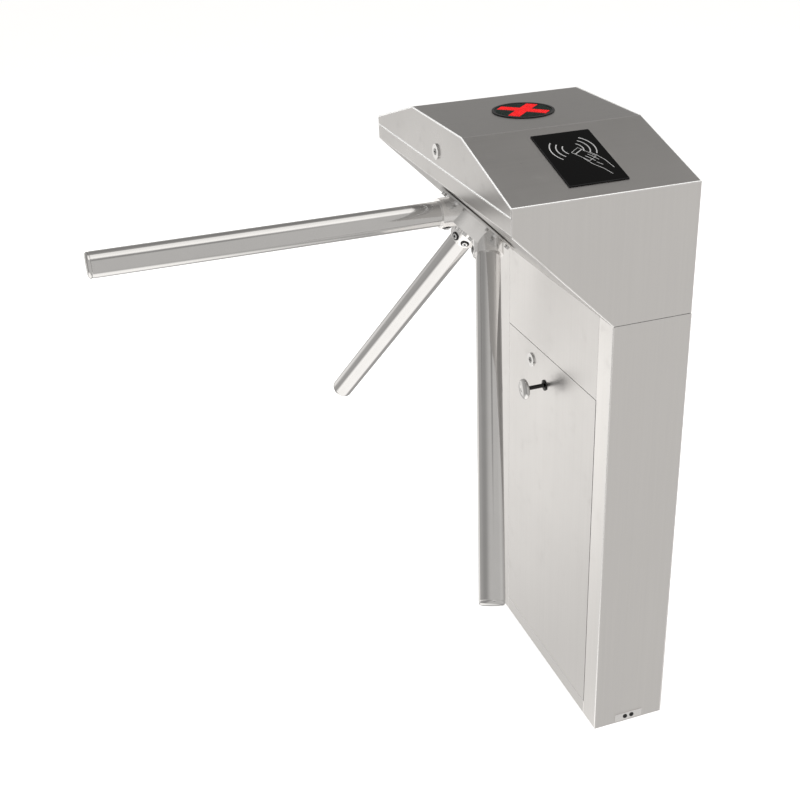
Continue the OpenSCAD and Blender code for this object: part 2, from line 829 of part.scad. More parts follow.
// Hexagonal standoffs with the screws that hold the bridge plate down
module bridge_standoffs() color(zinc)
    for (x = [-1, 1], y = [-1, 1]) {
        mech_side(housing_d) translate([x * standoff_x, y * standoff_y, 0])
            cylinder(h = bridge_d - housing_d, r = standoff_r, $fn = 6);
        mech_side(bridge_d + bridge_t) translate([x * standoff_x, y * standoff_y, 0])
            socket_screw(bolt_r, bridge_t);
    }

ear_r = 7;
ear_t = 3;
shaft_in = 11;
damper_r = 24;
damper_h = 26;
encoder_r = 18;
encoder_h = 30;

// Body of a unit on the bridge plate, bored for its pinion's shaft
module unit_body(r, h)
    difference() {
        union() {
            cylinder(h = h, r = r);
            for (k = [-1, 1]) translate([k * (r - 2), 0, 0]) cylinder(h = ear_t, r = ear_r);
        }
        translate([0, 0, -1]) cylinder(h = shaft_in + 1, r = pinion_shaft_r + running);
    }

module damper_body() color(dark)
    mech_side(bridge_d + bridge_t) translate([0, pinion_y, 0]) unit_body(damper_r, damper_h);

module encoder_body() color([0.2, 0.25, 0.3])
    mech_side(bridge_d + bridge_t) translate([0, -pinion_y, 0]) {
        unit_body(encoder_r, encoder_h);
        block([-6, -24, 14], [6, -17, 24]);
    }

// ---------- electronics ----------

board_t = 1.6;
board_x = x_right - skin_t - 8;
board_y0 = -90;
board_w = 150;
board_h = 130;
board_hole_in = 8;

module control_board() color([0.1, 0.35, 0.2]) {
    block([board_x - board_t, board_y0, board_z], [board_x, board_y0 + board_w, board_z + board_h]);
    for (k = [0:5])
        translate([board_x - board_t - 9, board_y0 + 12 + 22 * k, board_z + 6])
            cube([9.1, 16, 9]);
    for (k = [0:3])
        translate([board_x - board_t - 15, board_y0 + 12 + 24 * k, board_z + 96])
            cube([15.1, 18, 24]);
    translate([board_x - board_t - 2, board_y0 + 52, board_z + 46]) cube([2.1, 24, 24]);
    for (k = [0:2])
        translate([board_x - board_t + 0.1, board_y0 + 108, board_z + 34 + 18 * k])
            rotate([0, -90, 0]) cylinder(h = 18, r = 6);
    for (y = [board_y0 + board_hole_in, board_y0 + board_w - board_hole_in],
         z = [board_z + board_hole_in / 2 + 19, board_z + board_h - board_hole_in / 2])
        translate([board_x, y, z]) rotate([0, 90, 0]) cylinder(h = 8, r = 3.5);
}

module power_supply() color([0.75, 0.76, 0.78])
    difference() {
        block([x_right - skin_t - 2 - psu_w, -psu_d / 2, base_t],
              [x_right - skin_t - 2, psu_d / 2, base_t + psu_h]);
        for (k = [0:11])
            translate([x_right - skin_t - 3 - psu_w, -psu_d / 2 + 12 + 10 * k, base_t + 90])
                cube([3, 4, 70]);
    }

// ---------- tripod ----------

module main_shaft() color(polished)
    mech_side(0) difference() {
        union() {
            translate([0, 0, -hub_gap]) cylinder(h = shaft_flange_t, r = shaft_flange_r);
            translate([0, 0, -hub_gap]) cylinder(h = shaft_end_d + hub_gap, r = shaft_d / 2);
            translate([0, 0, shaft_end_d - 3]) cylinder(h = 3, r = shaft_d / 2 + 4);
        }
        for (k = [0:2]) rotate([0, 0, 120 * k])
            translate([hub_screw_ring, 0, -hub_gap - 1]) cylinder(h = shaft_flange_t, r = hub_screw_r + snug);
    }

module hub_flange() color(polished)
    hub_side(hub_gap) difference() {
        cylinder(h = flange_t, r = flange_d / 2);
        for (k = [0:2]) rotate([0, 0, 60 + 120 * k])
            translate([hub_screw_ring, 0, -1]) cylinder(h = flange_t + 2, r = hub_screw_r + snug);
        for (k = [0:2], side = [-1, 1]) rotate([0, 0, 120 * k + side * flange_screw_deg])
            translate([flange_screw_ring, 0, -1]) cylinder(h = flange_t + 2, r = flange_screw_r + snug);
    }

// Drum and the three sockets, cast in one piece
module hub_drum() color(polished)
    difference() {
        union() {
            hub_side(drum_z) cylinder(h = drum_top - drum_z, r = drum_d / 2);
            intersection() {
                for (k = [0:2]) arm_side(k)
                    translate([0, 0, 30]) cylinder(h = socket_end - 30, r = socket_d / 2);
                hub_side(drum_z) cylinder(h = 100, r = flange_d);
            }
        }
        for (k = [0:2]) {
            arm_side(k) translate([0, 0, socket_start])
                cylinder(h = socket_end, r = arm_d / 2 + snug);
            hub_side(0) rotate([0, 0, 60 + 120 * k]) translate([hub_screw_ring, 0, 0])
                cylinder(h = drum_top + 1, r = hub_screw_r + snug);
        }
    }

module hub_screws() color(zinc) {
    for (k = [0:2])
        hub_side(drum_top) rotate([0, 0, 60 + 120 * k]) translate([hub_screw_ring, 0, 0])
            socket_screw(hub_screw_r, drum_top - hub_gap + shaft_flange_t - 2);
    for (k = [0:2], side = [-1, 1])
        hub_side(drum_z) rotate([0, 0, 120 * k + side * flange_screw_deg])
            translate([flange_screw_ring, 0, 0]) socket_screw(flange_screw_r, flange_t + 0.5);
}

module arm(k) color(polished)
    arm_side(k) translate([0, 0, socket_start])
        ring(arm_d / 2, arm_d / 2 - arm_wall, arm_len - cap_t - socket_start);

module arm_1() arm(0);
module arm_2() arm(1);
module arm_3() arm(2);

// Caps with a rounded edge, each with a plug inside the tube
module arm_end_caps() color(polished)
    for (k = [0:2]) arm_side(k) translate([0, 0, arm_len - cap_t]) {
        edge = 4;
        rotate_extrude() union() {
            square([arm_d / 2, cap_t - edge]);
            square([arm_d / 2 - edge, cap_t]);
            translate([arm_d / 2 - edge, cap_t - edge]) intersection() {
                circle(r = edge);
                square(edge);
            }
        }
        translate([0, 0, -12]) cylinder(h = 12.1, r = arm_d / 2 - arm_wall - snug);
    }

module locking_disc() color(zinc)
    mech_side(disc_d) difference() {
        cylinder(h = disc_t, r = disc_r);
        translate([0, 0, -1]) cylinder(h = disc_t + 2, r = shaft_d / 2 + snug);
        for (k = [0:5]) rotate([0, 0, pawl_deg + 60 * k])
            translate([disc_r - notch_depth, -notch_w / 2, -1])
                cube([notch_depth + 5, notch_w, disc_t + 2]);
    }

// ---------- gears ----------

// Polar half angle of an involute tooth at radius r, for a gear of n teeth
function half_tooth(n, r) =
    let (pitch_r = gear_m * n / 2,
         base_r = pitch_r * cos(20),
         roll = sqrt(max(pow(r / base_r, 2) - 1, 0)),
         flank = roll * 180 / PI - atan(roll),
         pitch_flank = tan(20) * 180 / PI - 20,
         pitch_half = 90 / n - backlash / 4 / pitch_r * 180 / PI)
    pitch_half + pitch_flank - flank;

flank_steps = 4;

// Outline of a whole gear, tooth by tooth, with one tooth on the X axis
function gear_outline(n) =
    let (tip = gear_m * (n / 2 + 0.95), root = gear_m * (n / 2 - 1.2))
    [for (k = [0:n - 1], side = [-1, 1], i = [0:flank_steps])
        let (s = side < 0 ? i / flank_steps : 1 - i / flank_steps,
             r = root + (tip - root) * s,
             a = 360 * k / n + side * half_tooth(n, r))
        [r * cos(a), r * sin(a)]];

module main_gear() color([0.85, 0.84, 0.78])
    mech_side(gear_d) difference() {
        union() {
            linear_extrude(gear_w) polygon(gear_outline(gear_teeth));
            translate([0, 0, -4]) cylinder(h = gear_w + 4, r = shaft_d / 2 + 7);
        }
        translate([0, 0, -5]) cylinder(h = gear_w + 6, r = shaft_d / 2 + snug);
    }

// Pinion with its shaft, with a tooth gap towards the main gear
module pinion(side) color([0.85, 0.84, 0.78])
    mech_side(0) translate([0, side * pinion_y, 0]) {
        translate([0, 0, gear_d]) rotate([0, 0, -side * 90 + 180 / pinion_teeth])
            linear_extrude(gear_w) polygon(gear_outline(pinion_teeth));
        translate([0, 0, gear_d - 1]) cylinder(h = bridge_d + bridge_t + shaft_in - 2 - gear_d, r = pinion_shaft_r);
    }

module damper_pinion() pinion(1);
module encoder_pinion() pinion(-1);

// ---------- pawls ----------

// Pawl: boss on the post, arm to the tooth, and a thin slotted tail to the plunger
module pawl(side) color(zinc)
    pawl_side(side, disc_d) translate([pawl_x, pawl_lever, 0]) difference() {
        union() {
            cylinder(h = disc_t, r = pawl_boss_r);
            block([-pawl_arm_w / 2, -pawl_lever - tooth_w / 2, 0], [pawl_arm_w / 2, 0, disc_t]);
            block([disc_r + pawl_rest - pawl_x, -pawl_lever - tooth_w / 2, 0],
                  [0, -pawl_lever + tooth_w / 2, disc_t]);
            block([0, -tail_w / 2, (disc_t - tail_t) / 2],
                  [tail_l + tail_slot_l / 2 + 2, tail_w / 2, (disc_t + tail_t) / 2]);
        }
        translate([0, 0, -1]) cylinder(h = disc_t + 2, r = pawl_pin_r + running);
        block([tail_l - tail_slot_l / 2, -tail_slot_w / 2, -1],
              [tail_l + tail_slot_l / 2, tail_slot_w / 2, disc_t + 1]);
    }

module pawl_1() pawl(1);
module pawl_2() pawl(-1);

fork_w = 9;
fork_h = 9.6;
fork_gap = tail_t + 2 * clear;
fork_end = tail_w / 2 + 1;

// Plunger: round body in the coil, collar for the spring, and a fork with its pin
module plunger(side) color(polished)
    pawl_side(side, coil_z) translate([coil_x, 0, 0]) {
        translate([0, collar_y, 0]) rotate([90, 0, 0])
            cylinder(h = collar_y - coil_y + coil_l - 2 * stroke, r = plunger_r);
        translate([0, collar_y, 0]) rotate([90, 0, 0]) cylinder(h = collar_t, r = 8.6);
        difference() {
            block([-fork_w / 2, collar_y - 1, -fork_h / 2], [fork_w / 2, pawl_lever + fork_end, fork_h / 2]);
            block([-fork_w, pawl_lever - fork_end - 1.5, -fork_gap / 2],
                  [fork_w, pawl_lever + fork_end + 1, fork_gap / 2]);
        }
        translate([0, pawl_lever, -fork_h / 2 - 0.5]) cylinder(h = fork_h + 1, r = tail_pin_r);
    }

module plunger_1() plunger(1);
module plunger_2() plunger(-1);

// ---------- nodes ----------

base_plate();
front_panel();
rear_panel();
right_side_panel();
front_stile();
rear_stile();
upper_side_panel();
bottom_rail();
cable_outlet_plate();
frame_brackets();
head_front_panel();
head_rear_panel();
head_right_panel();
head_left_strip();
incline_plate();
head_bottom_panel();
lid_hinge_bases();
mech_plate();
mech_fasteners();
bearing_housing();
bearing_outer_races();
pawl_posts();
solenoids();
return_springs();
bridge_plate();
bridge_standoffs();
damper_body();
encoder_body();
control_board();
power_supply();
main_shaft();
hub_flange();
hub_drum();
hub_screws();
arm_1();
arm_2();
arm_3();
arm_end_caps();
locking_disc();
main_gear();
bearing_inner_races();
damper_pinion();
encoder_pinion();
pawl_1();
pawl_2();
plunger_1();
plunger_2();
lid_skin();
lid_gables();
lid_hinge_leaves();
indicator_bezel();
indicator_lens();
reader_window();
lid_lock_body();
lid_lock_plug();
door_panel();
door_pivots();
door_knob();
door_lock_body();
door_lock_plug();
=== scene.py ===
"""Looks of a waist-high, three-arm visitor counter turnstile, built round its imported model."""
import json
import math

import bpy
from mathutils import Matrix, Vector


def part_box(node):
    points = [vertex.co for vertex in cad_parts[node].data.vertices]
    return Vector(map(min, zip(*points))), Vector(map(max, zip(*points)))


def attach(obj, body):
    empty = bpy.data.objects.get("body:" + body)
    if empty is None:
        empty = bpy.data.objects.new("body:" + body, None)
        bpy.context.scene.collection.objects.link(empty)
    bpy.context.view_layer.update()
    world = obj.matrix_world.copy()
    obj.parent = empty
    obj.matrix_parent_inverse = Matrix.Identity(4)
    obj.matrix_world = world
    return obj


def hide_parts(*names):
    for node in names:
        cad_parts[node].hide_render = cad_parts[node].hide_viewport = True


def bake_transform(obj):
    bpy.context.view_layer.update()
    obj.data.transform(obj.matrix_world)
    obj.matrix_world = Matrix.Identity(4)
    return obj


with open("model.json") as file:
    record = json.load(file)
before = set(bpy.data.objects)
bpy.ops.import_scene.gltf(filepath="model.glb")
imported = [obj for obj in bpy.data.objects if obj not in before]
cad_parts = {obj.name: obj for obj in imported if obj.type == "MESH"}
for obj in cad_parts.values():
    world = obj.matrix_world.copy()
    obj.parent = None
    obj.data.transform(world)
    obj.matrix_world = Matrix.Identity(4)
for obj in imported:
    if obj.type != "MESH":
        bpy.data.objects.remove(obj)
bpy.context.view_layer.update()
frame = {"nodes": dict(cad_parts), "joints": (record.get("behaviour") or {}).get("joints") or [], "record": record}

BODIES = frame["record"]["behaviour"]["bodies"]
BODY = {node: body for body, nodes in BODIES.items() for node in nodes}
SLOT = {part["node"]: part["material_slot"] for part in frame["record"]["subparts"]}
MM = 0.001


# ---------- shader words ----------

class Value:
    """One output of a node; sums and products of it add Math nodes."""

    def __init__(self, tree, socket):
        self.tree, self.socket = tree, socket

    def maths(self, operation, first, second):
        return self.tree.node("ShaderNodeMath", {"operation": operation}, {0: first, 1: second})

    def __add__(self, other):
        return self.maths("ADD", self, other)

    def __sub__(self, other):
        return self.maths("SUBTRACT", self, other)

    def __rsub__(self, other):
        return self.maths("SUBTRACT", other, self)

    def __mul__(self, other):
        return self.maths("MULTIPLY", self, other)

    __radd__, __rmul__ = __add__, __mul__

    def clip(self, low, high):
        """0 below low, 1 above high and smooth between them."""
        settings = {"interpolation_type": "SMOOTHSTEP"}
        return self.tree.node("ShaderNodeMapRange", settings, {0: self, 1: low, 2: high})


class Tree:
    """A node tree, with one method that makes any node."""

    def __init__(self, nodes):
        self.nodes = nodes

    def node(self, kind, settings=None, inputs=None, output=0):
        made = self.nodes.nodes.new(kind)
        for key, value in (settings or {}).items():
            setattr(made, key, value)
        for key, value in (inputs or {}).items():
            self.feed(made.inputs[key], value)
        return Value(self, made.outputs[output])

    def feed(self, socket, value):
        if isinstance(value, Value):
            self.nodes.links.new(value.socket, socket)
        else:
            socket.default_value = value

    def stretch(self, vector, scales):
        return self.node("ShaderNodeVectorMath", {"operation": "MULTIPLY"}, {0: vector, 1: scales})

    def noise(self, vector, scale=1.0, detail=2.0, roughness=0.5):
        return self.node("ShaderNodeTexNoise", {}, {0: vector, 2: scale, 3: detail, 4: roughness})

    def cells(self, vector, scale, feature="F1"):
        inputs = {"Vector": vector, "Scale": scale}
        return self.node("ShaderNodeTexVoronoi", {"feature": feature}, inputs)

    def tint(self, factor, first, second):
        inputs = {0: factor, 6: first, 7: second}
        return self.node("ShaderNodeMix", {"data_type": "RGBA"}, inputs, 2)


class Finish(Tree):
    """A material: constants go straight on the shader, and patterns read Object coordinates."""

    def __init__(self, name, **constants):
        self.material = bpy.data.materials.new(name)
        self.material.use_nodes = True
        super().__init__(self.material.node_tree)
        self.shader = self.nodes.nodes["Principled BSDF"]
        self.place = self.node("ShaderNodeTexCoord", output="Object")
        for key, value in constants.items():
            self.set(key.replace("_", " "), value)

    def set(self, name, value):
        self.feed(self.shader.inputs[name], value)

    def greys(self, mask, level, low, high, warm):
        """Base colour between two greys, which are shares of the level."""
        self.set("Base Color", self.tint(mask, grey(level * low, warm), grey(level * high, warm)))

    def relief(self, height, distance):
        inputs = {"Strength": 1.0, "Distance": distance, "Height": height}
        self.set("Normal", self.node("ShaderNodeBump", {}, inputs))


def grey(level, warm=0.0):
    return (level * (1 + warm), level, level * (1 - warm), 1)


def dimmed(colour, share):
    return (*(c * share for c in colour[:3]), 1)


# ---------- finishes ----------

# How close the hairlines and the streaks lie along X, Y and Z.
UPRIGHT = {"hairs": (1500.0, 1500.0, 14.0), "streaks": (190.0, 190.0, 3.0)}
SIDEWAYS = {"hairs": (14.0, 1500.0, 1500.0), "streaks": (3.0, 190.0, 190.0)}


def brushed(name, level, rough, hairs, streaks):
    """Brushed stainless sheet: hairlines, wider streaks, and smudges that dull the gloss."""
    finish = Finish(name, Metallic=1.0)
    hair = finish.noise(finish.stretch(finish.place, hairs), 1.0, 3.0, 0.6)
    streak = finish.noise(finish.stretch(finish.place, streaks), 1.0, 4.0, 0.55)
    smudge = finish.noise(finish.place, 8.0, 3.0, 0.55)
    print_mark = finish.noise(finish.place, 42.0, 4.0, 0.6).clip(0.56, 0.74)
    tone = (hair * 0.3 + streak * 0.5 + smudge * 0.2).clip(0.30, 0.70)
    finish.greys(tone, level, 0.98, 1.02, warm=0.02)
    uneven = (hair - 0.5) * 0.08 + (smudge - 0.5) * 0.10 + print_mark * 0.05
    finish.set("Roughness", rough + uneven)
    finish.relief(hair * 0.7 + streak * 0.3, 0.000006)
    return finish.material


def polished(name, level, rough, warm=0.01, metallic=1.0):
    """Mirror-polished steel: fine wheel marks, wiped smudges and a few deeper scratches."""
    finish = Finish(name, Metallic=metallic)
    smudge = finish.noise(finish.place, 26.0, 5.0, 0.6)
    wheel = finish.noise(finish.stretch(finish.place, (90.0, 900.0, 90.0)), 1.0, 3.0, 0.6)
    scratch = finish.noise(finish.stretch(finish.place, (1500.0, 60.0, 700.0)), 1.0, 2.0, 0.4)
    scratch = scratch.clip(0.66, 0.70)
    finish.greys(smudge, level, 0.95, 1.04, warm)
    uneven = (smudge - 0.45) * 0.10 + (wheel - 0.5) * 0.05 + scratch * 0.12
    finish.set("Roughness", rough + uneven)
    finish.relief(wheel * 0.6 + scratch * 0.4, 0.000012)
    return finish.material


def bare_metal(name, level, rough, size, depth, warm=0.0, spangle=0.0):
    """Machined, ground, cast or plated metal; size is that of its grain."""
    finish = Finish(name, Metallic=1.0)
    grain = finish.noise(finish.place, 1 / size, 4.0, 0.65)
    if spangle:
        patch = finish.cells(finish.place, 130.0)
    else:
        patch = finish.noise(finish.place, 30.0, 3.0)
    stain = finish.noise(finish.place, 14.0, 4.0, 0.6)
    tone = (grain * 0.4 + patch * (0.3 + spangle) + stain * 0.3).clip(0.2, 0.8)
    finish.greys(tone, level, 0.82, 1.06, warm)
    finish.set("Roughness", rough + (grain - 0.5) * 0.14 + (stain - 0.5) * 0.14)
    finish.relief(grain, depth)
    return finish.material


def moulded(name, colour, pale, rough, size, depth, shine=0.5):
    """Moulded, printed or painted surface with a fine grain and rubbed, paler patches."""
    finish = Finish(name, Specular_IOR_Level=shine)
    grain = finish.noise(finish.place, 1 / size, 3.0, 0.6)
    rub = finish.noise(finish.place, 18.0, 5.0, 0.65)
    finish.set("Base Color", finish.tint(rub.clip(0.35, 0.75), colour, pale))
    finish.set("Roughness", rough + (grain - 0.5) * 0.16 + (rub - 0.5) * 0.12)
    finish.relief(grain, depth)
    return finish.material


def gloss_black(name, colour):
    """Black acrylic with dust specks and hardly visible wiping marks."""
    finish = Finish(name, Coat_Weight=0.02, Coat_Roughness=0.03, Specular_IOR_Level=0.04)
    dust = finish.cells(finish.place, 420.0).clip(0.10, 0.04)
    wipe = finish.noise(finish.stretch(finish.place, (40.0, 12.0, 30.0)), 1.0, 4.0, 0.6)
    finish.set("Base Color", finish.tint(dust * 0.12, colour, grey(0.10)))
    finish.set("Roughness", 0.07 + wipe * 0.09 + dust * 0.2)
    finish.relief(finish.noise(finish.place, 25.0, 1.0), 0.00005)
    return finish.material


def lamp(name, colour, glow, strength):
    """A moulded lamp that gives light, of slightly uneven plastic."""
    finish = Finish(name, Roughness=0.35, Specular_IOR_Level=0.2, Emission_Strength=strength)
    uneven = finish.noise(finish.place, 160.0, 2.0)
    finish.set("Base Color", finish.tint(uneven, colour, dimmed(colour, 0.6)))
    finish.set("Emission Color", finish.tint(uneven.clip(0.2, 0.8), glow, dimmed(glow, 0.7)))
    finish.relief(uneven, 0.0001)
    return finish.material


def circuit_board(name):
    """Green solder mask over copper tracks, with small tinned pads."""
    finish = Finish(name, Coat_Weight=0.35)
    lanes = finish.stretch(finish.place, (1.0, 1.0, 2.6))
    track = finish.cells(lanes, 210.0, "DISTANCE_TO_EDGE").clip(0.05, 0.09)
    pads = finish.cells(finish.place, 320.0).clip(0.16, 0.12)
    mask = finish.tint(track, (0.03, 0.16, 0.05, 1), (0.012, 0.085, 0.03, 1))
    finish.set("Base Color", finish.tint(pads, mask, (0.62, 0.60, 0.55, 1)))
    finish.set("Metallic", pads * 0.9)
    finish.set("Roughness", 0.32 + track * 0.1 + pads * 0.1)
    finish.relief(pads * 0.7 + (1 - track) * 0.3, 0.00008)
    return finish.material


# A packed slot may have taken the name, and Blender then puts a number behind it.
FINISH = {finish.name.split(".")[0]: finish for finish in (
    brushed("satin_steel", level=0.72, rough=0.32, **UPRIGHT),
    brushed("lid_steel", level=0.51, rough=0.30, **SIDEWAYS),
    polished("polished_steel", level=0.63, rough=0.09),
    bare_metal("zinc_steel", level=0.62, rough=0.36, size=0.0012, depth=0.00002, spangle=0.3),
    moulded("base_steel", colour=(0.19, 0.20, 0.21, 1), pale=(0.27, 0.28, 0.29, 1),
            rough=0.55, size=0.0009, depth=0.00008),
    bare_metal("bright_fastener", level=0.74, rough=0.20, size=0.0006, depth=0.00001),
    bare_metal("cast_aluminium", level=0.66, rough=0.44, size=0.0010, depth=0.00006),
    bare_metal("ground_steel", level=0.68, rough=0.22, size=0.0005, depth=0.00001, warm=0.01),
    moulded("gear_nylon", colour=(0.80, 0.77, 0.68, 1), pale=(0.86, 0.83, 0.75, 1),
            rough=0.42, size=0.0010, depth=0.00004),
    moulded("coil_case", colour=(0.05, 0.05, 0.055, 1), pale=(0.10, 0.10, 0.105, 1),
            rough=0.38, size=0.0008, depth=0.00004),
    moulded("black_plastic", colour=(0.010, 0.010, 0.011, 1), pale=(0.018, 0.018, 0.019, 1),
            rough=0.36, size=0.0006, depth=0.00003, shine=0.15),
    gloss_black("black_lens", colour=(0.003, 0.006, 0.005, 1)),
    gloss_black("black_panel", colour=(0.003, 0.003, 0.003, 1)),
    circuit_board("board_green"),
    bare_metal("psu_case", level=0.60, rough=0.40, size=0.0015, depth=0.00003, spangle=0.2),
)}
# A finish brighter than the sheets, for their bevels and the cabinet's beads: a painted highlight along the edges.
EDGE = polished("painted_edge_highlight", level=0.92, rough=0.16)
# A near-white, partly dull finish for the weld beads and the locks' rounded edges: a painted highlight along them.
SEAM_HIGHLIGHT = polished("painted_seam_highlight", level=0.97, rough=0.20, warm=0.0, metallic=0.35)
# A brighter copy of the satin steel for the front stile: painted light on that face.
STILE_PAINTED_LIGHT = brushed("stile_steel_painted_light", level=0.84, rough=0.30, **UPRIGHT)
# A brighter copy of the polished steel for the hub drum and the cable outlet plate: painted light on them.
POLISHED_PAINTED_LIGHT = polished("polished_steel_painted_light", level=0.86, rough=0.20)
# A near-black copy of the polished steel for the knob's stem and its rosette: painted shade on them.
STEM_PAINTED_SHADE = polished("stem_steel_painted_shade", level=0.05, rough=0.15)
# A dark copy of the polished steel for the lock plugs: painted shade on them.
PLUG_PAINTED_SHADE = polished("plug_steel_painted_shade", level=0.22, rough=0.18)
INK = moulded("screen_ink", colour=grey(0.30), pale=grey(0.40),
              rough=0.5, size=0.0007, depth=0.00002)
# Near black: painted shade in the screw sockets, under the screws and in the cable holes, and the grommets' own
# black.
BLACK_AND_SHADE = moulded("black_and_painted_shade", colour=grey(0.006), pale=grey(0.015),
                 rough=0.6, size=0.0008, depth=0.00002)
LIT = lamp("lamp_red", colour=(0.45, 0.006, 0.006, 1), glow=(0.80, 0.004, 0.008, 1), strength=0.9)
UNLIT = lamp("lamp_off", colour=(0.008, 0.016, 0.013, 1), glow=(0.0, 0.006, 0.004, 1), strength=0.1)


# ---------- shaping words ----------

def choose(*pieces):
    bpy.ops.object.select_all(action="DESELECT")
    for piece in pieces:
        piece.select_set(True)
    bpy.context.view_layer.objects.active = pieces[0]


def edit(piece):
    choose(piece)
    bpy.ops.object.mode_set(mode="EDIT")
    bpy.ops.mesh.select_all(action="SELECT")


def leave():
    bpy.ops.object.mode_set(mode="OBJECT")


def modify(piece, kind, **settings):
    choose(piece)
    step = piece.modifiers.new(kind.lower(), kind)
    for key, value in settings.items():
        setattr(step, key, value)
    bpy.ops.object.modifier_apply(modifier=step.name)


def settle(piece, matrix=None):
    """Puts the piece's place in its mesh, so that its object is at the origin."""
    piece.data.transform((matrix or Matrix()) @ piece.matrix_basis)
    piece.matrix_basis = Matrix()
    return piece


def smooth(piece, angle=35):
    choose(piece)
    bpy.ops.object.shade_smooth_by_angle(angle=math.radians(angle))
    modify(piece, "WEIGHTED_NORMAL", keep_sharp=True)
    return piece


def soften(piece, width, steps=2, limit=32, edge=None):
    """Rounds the piece's sharp edges; edge is the finish of the rounded faces."""
    if edge:
        piece.data.materials.append(edge)
    modify(piece, "BEVEL", width=width, segments=steps, limit_method="ANGLE",
           angle_limit=math.radians(limit), material=1 if edge else -1)
    return smooth(piece)


def take(node, name):
    """A merged copy of a node's mesh, ready to be worked on."""
    piece = bpy.data.objects.new(name, frame["nodes"][node].data.copy())
    bpy.context.scene.collection.objects.link(piece)
    piece.data.materials.clear()
    piece.data.materials.append(FINISH[SLOT[node]])
    edit(piece)
    bpy.ops.mesh.customdata_custom_splitnormals_clear()
    bpy.ops.mesh.remove_doubles(threshold=1e-5)
    bpy.ops.mesh.dissolve_limited(angle_limit=math.radians(0.5))
    leave()
    return piece


def turned(name, outline, finish, steps=64):
    """Spins an outline of (radius, height) pairs in millimetres round the Z axis."""
    bpy.ops.object.select_all(action="DESELECT")
    bpy.ops.mesh.primitive_plane_add(size=MM)
    piece = bpy.context.object
    piece.name = name
    edit(piece)
    bpy.ops.mesh.merge(type="CENTER")
    bpy.ops.transform.translate(value=(outline[0][0] * MM, 0, outline[0][1] * MM))
    for (r0, z0), (r1, z1) in zip(outline, outline[1:]):
        shift = ((r1 - r0) * MM, 0, (z1 - z0) * MM)
        bpy.ops.mesh.extrude_vertices_move(TRANSFORM_OT_translate={"value": shift})
    bpy.ops.mesh.select_all(action="SELECT")
    bpy.ops.mesh.spin(steps=steps, angle=math.tau, center=(0, 0, 0), axis=(0, 0, 1))
    bpy.ops.mesh.select_all(action="SELECT")
    bpy.ops.mesh.remove_doubles(threshold=1e-6)
    bpy.ops.mesh.normals_make_consistent(inside=False)
    leave()
    piece.data.materials.append(finish)
    return piece


def block(name, low, high, finish):
    """A box between two corners in millimetres, to be shaped further."""
    bpy.ops.object.select_all(action="DESELECT")
    low, high = Vector(low) * MM, Vector(high) * MM
    bpy.ops.mesh.primitive_cube_add(size=1, location=(low + high) / 2, scale=high - low)
    piece = settle(bpy.context.object)
    piece.name = name
    piece.data.materials.append(finish)
    return piece


def joined(name, pieces):
    choose(*pieces)
    bpy.ops.object.join()
    whole = bpy.context.view_layer.objects.active
    whole.name = name
    return whole


def copies(piece, places):
    """The piece at each place, joined as one object."""
    twins = []
    for place in places:
        twin = bpy.data.objects.new(piece.name, piece.data.copy())
        bpy.context.scene.collection.objects.link(twin)
        twins.append(settle(twin, place))
    name = piece.name
    bpy.data.objects.remove(piece)
    return joined(name, twins)


def cut(piece, cutter):
    modify(piece, "BOOLEAN", operation="DIFFERENCE", solver="EXACT", object=cutter)
    bpy.data.objects.remove(cutter)


def wire(name, points, radius, rounding):
    """A round wire along points in metres, as a mesh without a finish."""
    line = bpy.data.curves.new(name, "CURVE")
    line.dimensions = "3D"
    line.bevel_depth, line.bevel_resolution, line.use_fill_caps = radius, rounding, True
    spline = line.splines.new("POLY")
    spline.points.add(len(points) - 1)
    for point, place in zip(spline.points, points):
        point.co = (*place, 1)
    piece = bpy.data.objects.new(name, line)
    bpy.context.scene.collection.objects.link(piece)
    choose(piece)
    bpy.ops.object.convert(target="MESH")
    piece = bpy.context.view_layer.objects.active
    piece.data.materials.clear()
    return piece


def bead(name, points, radius, finish):
    """A weld bead along points in metres; its bright finish paints a highlight along it."""
    piece = wire(name, points, radius, rounding=3)
    piece.data.materials.append(finish)
    return smooth(piece, 50)


def fit(piece, body, slot, *nodes):
    """Rides the finished piece on its body, and hides the nodes it stands for."""
    piece.data.name = piece.name
    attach(piece, body)
    if nodes:
        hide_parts(*nodes)
    return piece


def sheet_metal(node, width, steps=2, edge=None, limit=32, finish=None):
    """Stands in for a node with a softened copy of it."""
    piece = take(node, node + "_sheet")
    if finish:
        piece.data.materials[0] = finish
    soften(piece, width, steps, limit, edge)
    return fit(piece, BODY[node], SLOT[node], node)


# ---------- places ----------

def turn(axis, degrees):
    return Matrix.Rotation(math.radians(degrees), 4, axis)


def shift(x=0, y=0, z=0):
    return Matrix.Translation(Vector((x, y, z)) * MM)


def middle_of(points):
    return sum(points, Vector()) / len(points)


HUB_TURN, ARM_TURN, ARM_PITCH = 225, 45, 120
SPIN = next(j for j in frame["joints"] if j["name"] == "tripod_spin")
HUB = Matrix.Translation(Vector(SPIN["pos_m"])) @ turn("Y", HUB_TURN)

# The first arm is level, so its box gives the apex, where the axes of the arms meet.
arm_low, arm_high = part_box("arm_1")
apex_in = ((arm_low.z + arm_high.z) / 2 - SPIN["pos_m"][2]) * math.sqrt(2) / MM
ARM = [HUB @ shift(z=-apex_in) @ turn("Z", ARM_PITCH * k) @ turn("Y", ARM_TURN) for k in range(3)]
apex = ARM[0].translation
arm_r = (arm_high.z - arm_low.z) / 2 / MM
arm_from, arm_to = (apex.x - arm_high.x) / MM, (apex.x - arm_low.x) / MM
arm_end = (apex.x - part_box("arm_end_caps")[0].x) / MM

SLOPE_RUN, SLOPE_RISE = 172 * MM, 52 * MM
lid_low, lid_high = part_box("lid_skin")
lens_low, lens_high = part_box("indicator_lens")
